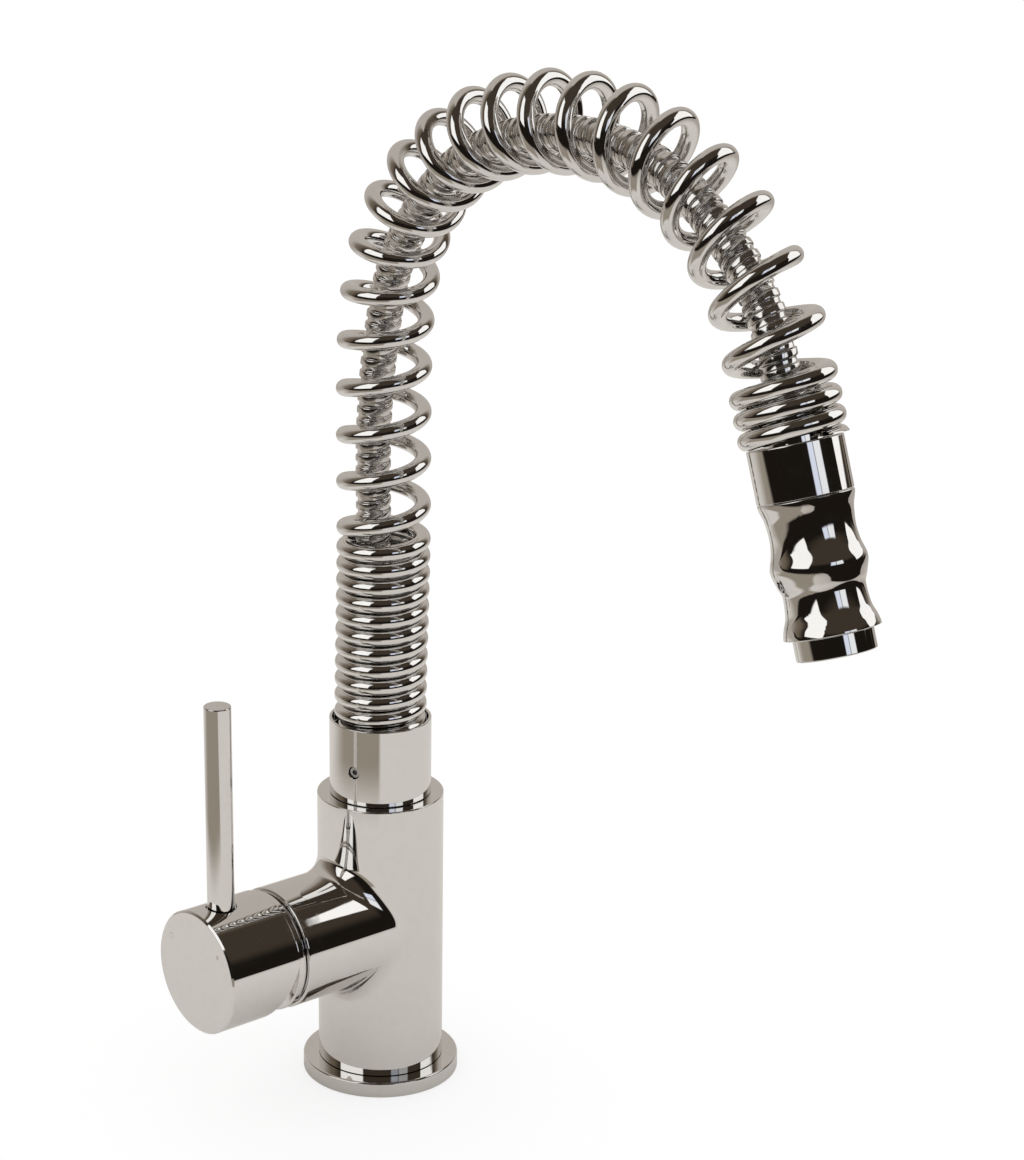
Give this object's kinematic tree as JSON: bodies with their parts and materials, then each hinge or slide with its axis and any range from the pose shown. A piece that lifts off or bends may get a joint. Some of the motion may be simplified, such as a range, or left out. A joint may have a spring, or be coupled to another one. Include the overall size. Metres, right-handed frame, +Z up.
{
  "type": "flexible kitchen faucet",
  "caption": "Single-lever kitchen mixer tap: round base and body, side lever knob, swivelling collar, arched spring with a metal hose inside, and a turned hand spray.",
  "frame": {"origin": "centre of the underside, on the deck, on the body's vertical axis", "axes": "+Z up along the body, the spout reaches towards -Y at rest, the lever's branch points to -X"},
  "size_m": [0.1168, 0.27, 0.3978],
  "materials": {
    "base_flange": "polished",
    "base_gasket": "matt",
    "mixer_body": "polished",
    "cartridge_base": "moulded",
    "cartridge_o_ring": "matt",
    "ceramic_disc_fixed": "lapped",
    "cartridge_shell": "moulded",
    "cartridge_nut": "machined",
    "cover_ring": "polished",
    "outlet_spigot": "machined",
    "swivel_o_ring_lower": "matt",
    "swivel_o_ring_upper": "matt",
    "slip_washer": "moulded",
    "cartridge_turret": "moulded",
    "stem_pin": "ground",
    "ceramic_disc_moving": "lapped",
    "disc_slider": "moulded",
    "cartridge_stem": "machined",
    "handle_knob": "polished",
    "lever_rod": "polished",
    "handle_grub_screw": "machined",
    "spring_collar": "polished",
    "collar_grub_screw": "machined",
    "hose_lower_fitting": "machined",
    "spring": "polished",
    "hose": "polished strip, wound",
    "spray_ferrule": "polished",
    "hose_upper_fitting": "machined",
    "hose_washer": "matt",
    "spray_grip": "polished",
    "grip_screw": "machined",
    "spray_inner_tube": "moulded",
    "nozzle_ring": "polished",
    "nozzle_o_ring": "matt",
    "aerator_insert": "moulded"
  },
  "bodies": {
    "mixer": {"mixer_body": "mixer_body", "base_flange": "base_flange", "base_gasket": "base_gasket", "cartridge_base": "cartridge_base", "cartridge_o_ring": "cartridge_o_ring", "ceramic_disc_fixed": "ceramic_disc_fixed", "cartridge_shell": "cartridge_shell", "cartridge_nut": "cartridge_nut", "cover_ring": "cover_ring", "outlet_spigot": "outlet_spigot", "swivel_o_ring_lower": "swivel_o_ring_lower", "swivel_o_ring_upper": "swivel_o_ring_upper", "slip_washer": "slip_washer"},
    "turret": {"cartridge_turret": "cartridge_turret", "stem_pin": "stem_pin"},
    "disc_drive": {"ceramic_disc_moving": "ceramic_disc_moving", "disc_slider": "disc_slider"},
    "handle": {"cartridge_stem": "cartridge_stem", "handle_knob": "handle_knob", "lever_rod": "lever_rod", "handle_grub_screw": "handle_grub_screw"},
    "spout": {"spring_collar": "spring_collar", "collar_grub_screw": "collar_grub_screw", "hose_lower_fitting": "hose_lower_fitting", "spring": "spring", "hose": "hose"},
    "spray_holder": {"spray_ferrule": "spray_ferrule", "hose_upper_fitting": "hose_upper_fitting", "hose_washer": "hose_washer"},
    "spray_head": {"spray_grip": "spray_grip", "grip_screw": "grip_screw", "spray_inner_tube": "spray_inner_tube", "nozzle_ring": "nozzle_ring", "nozzle_o_ring": "nozzle_o_ring", "aerator_insert": "aerator_insert"}
  },
  "joints": [
    {"name": "temp_turn", "type": "hinge", "parent": "mixer", "child": "turret", "pos_m": [-0.048, 0, 0.064], "axis": [-1, 0, 0], "range_deg": [-45, 45]},
    {"name": "flow_lift", "type": "hinge", "parent": "turret", "child": "handle", "pos_m": [-0.048, 0, 0.064], "axis": [0, -1, 0], "range_deg": [0, 22]},
    {"name": "disc_slide", "type": "slide", "parent": "turret", "child": "disc_drive", "axis": [0, 0, 1], "range_m": [0, 0.0032]},
    {"name": "spout_swivel", "type": "hinge", "parent": "mixer", "child": "spout", "pos_m": [0, 0, 0.115], "axis": [0, 0, 1], "continuous": true},
    {"name": "spout_flex", "type": "hinge", "parent": "spout", "child": "spray_holder", "pos_m": [0, -0.1098, 0.3805], "axis": [-1, 0, 0], "range_deg": [-20, 20], "stiffness_Nm_per_rad": 8, "springref_deg": 1.49, "deforming": ["spring", "hose"]},
    {"name": "spray_swivel", "type": "hinge", "parent": "spray_holder", "child": "spray_head", "pos_m": [0, -0.21129, 0.27885], "axis": [0, -0.3289, -0.9444], "continuous": true}
  ],
  "couplings": [
    {"joint": "disc_slide", "follows": "flow_lift", "m_per_rad": 0.008}
  ]
}
